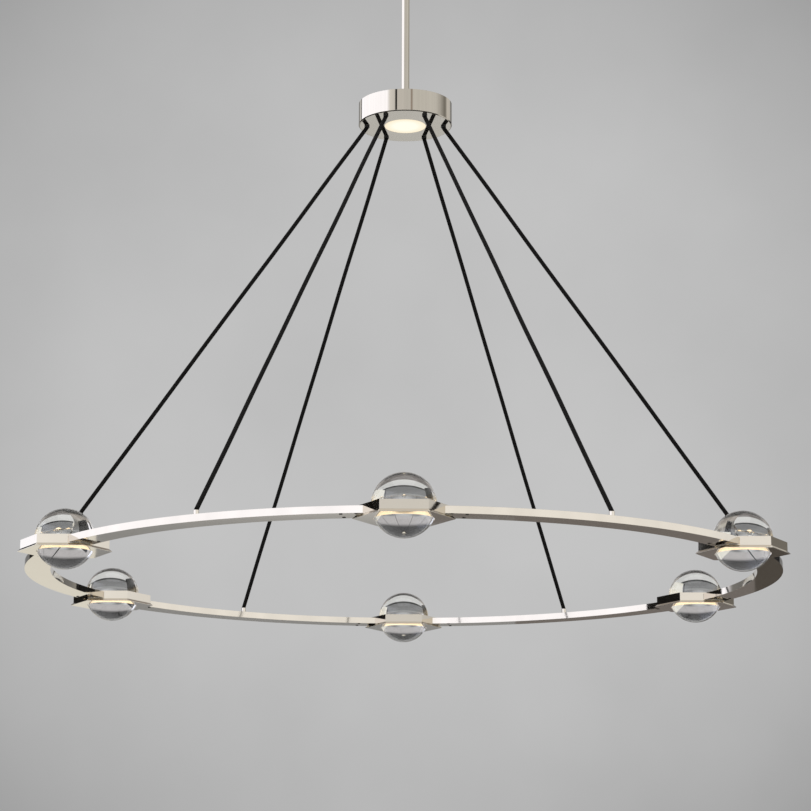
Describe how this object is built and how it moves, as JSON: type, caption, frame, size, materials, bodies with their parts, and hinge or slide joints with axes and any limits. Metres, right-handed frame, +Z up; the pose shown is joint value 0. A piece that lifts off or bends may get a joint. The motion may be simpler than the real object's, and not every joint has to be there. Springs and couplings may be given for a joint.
{
  "type": "orb chandelier",
  "caption": "Ceiling chandelier: clear balls in lit hexagonal collars on a flat metal ring, hung by black cords from a round hub on a rod.",
  "frame": {"origin": "centre of the ceiling crossbar's top face, on the ceiling plane", "axes": "+Z up into the ceiling; the pendant hangs along -Z; the nearest ball of the pictured view lies towards -Y, +X is that view's right"},
  "size_m": [1.428, 1.5252, 1.374],
  "materials": {
    "polished_nickel": "polished nickel plate",
    "mirror_nickel": "mirror-polished nickel plate",
    "zinc_plated_steel": "zinc-plated steel",
    "cable_jacket": "black rubber jacket",
    "wire_jacket": "clear wire jacket",
    "driver_case": "moulded plastic case",
    "heat_sink_aluminium": "turned aluminium",
    "lamp_board": "white circuit board",
    "lamp_diffuser": "frosted opal diffuser, lit warm white",
    "cord_gland": "black moulded plastic",
    "cord_fabric": "black braided fabric cover",
    "silicone": "clear silicone",
    "led_ring": "diffused LED ring, lit warm white",
    "crystal": "solid polished optical crystal"
  },
  "bodies": {
    "ceiling_mount": {"ceiling_crossbar": "zinc_plated_steel", "canopy": "polished_nickel", "canopy_screws": "polished_nickel", "threaded_nipple": "zinc_plated_steel", "nipple_locknuts": "zinc_plated_steel", "swivel_cap": "polished_nickel", "swivel_cup": "polished_nickel"},
    "swivel": {"swivel_yoke": "polished_nickel", "swivel_pin": "polished_nickel"},
    "pendant": {"rod_knuckle": "polished_nickel", "downrod": "polished_nickel", "hub_shell": "polished_nickel", "ring_screws": "polished_nickel", "cord_ferrules": "polished_nickel", "ring_arc_1": "polished_nickel", "ring_arc_2": "polished_nickel", "ring_arc_3": "polished_nickel", "ring_arc_4": "polished_nickel", "ring_arc_5": "polished_nickel", "ring_arc_6": "polished_nickel", "collar_1": "polished_nickel", "collar_2": "polished_nickel", "collar_3": "polished_nickel", "collar_4": "polished_nickel", "collar_5": "polished_nickel", "collar_6": "polished_nickel", "bezel_1": "polished_nickel", "bezel_2": "polished_nickel", "bezel_3": "polished_nickel", "bezel_4": "polished_nickel", "bezel_5": "polished_nickel", "bezel_6": "polished_nickel", "hub_frame": "zinc_plated_steel", "hub_base_screws": "zinc_plated_steel", "rod_locknut": "zinc_plated_steel", "cord_gland_nuts": "zinc_plated_steel", "ring_joiners": "zinc_plated_steel", "ferrule_nuts": "zinc_plated_steel", "hub_base_plate": "mirror_nickel", "rod_cable": "cable_jacket", "ring_wires": "wire_jacket", "led_driver": "driver_case", "lamp_heat_sink": "heat_sink_aluminium", "lamp_board": "lamp_board", "lamp_diffuser": "lamp_diffuser", "cord_glands": "cord_gland", "seat_rings": "silicone", "led_rings": "led_ring", "cord_1": "cord_fabric", "cord_2": "cord_fabric", "cord_3": "cord_fabric", "cord_4": "cord_fabric", "cord_5": "cord_fabric", "cord_6": "cord_fabric"},
    "ball_1": {"crystal_ball_1": "crystal"},
    "ball_2": {"crystal_ball_2": "crystal"},
    "ball_3": {"crystal_ball_3": "crystal"},
    "ball_4": {"crystal_ball_4": "crystal"},
    "ball_5": {"crystal_ball_5": "crystal"},
    "ball_6": {"crystal_ball_6": "crystal"}
  },
  "joints": [
    {"name": "swivel_turn", "type": "hinge", "parent": "ceiling_mount", "child": "swivel", "pos_m": [0, 0, -0.068], "axis": [0, 0, 1], "range_deg": [-165, 165]},
    {"name": "swivel_tilt", "type": "hinge", "parent": "swivel", "child": "pendant", "pos_m": [0, 0, -0.068], "axis": [1, 0, 0], "range_deg": [-45, 45]},
    {"name": "ball_1_lift", "type": "slide", "parent": "pendant", "child": "ball_1", "axis": [0, 0, 1], "range_m": [0, 0.06]},
    {"name": "ball_2_lift", "type": "slide", "parent": "pendant", "child": "ball_2", "axis": [0, 0, 1], "range_m": [0, 0.06]},
    {"name": "ball_3_lift", "type": "slide", "parent": "pendant", "child": "ball_3", "axis": [0, 0, 1], "range_m": [0, 0.06]},
    {"name": "ball_4_lift", "type": "slide", "parent": "pendant", "child": "ball_4", "axis": [0, 0, 1], "range_m": [0, 0.06]},
    {"name": "ball_5_lift", "type": "slide", "parent": "pendant", "child": "ball_5", "axis": [0, 0, 1], "range_m": [0, 0.06]},
    {"name": "ball_6_lift", "type": "slide", "parent": "pendant", "child": "ball_6", "axis": [0, 0, 1], "range_m": [0, 0.06]}
  ]
}
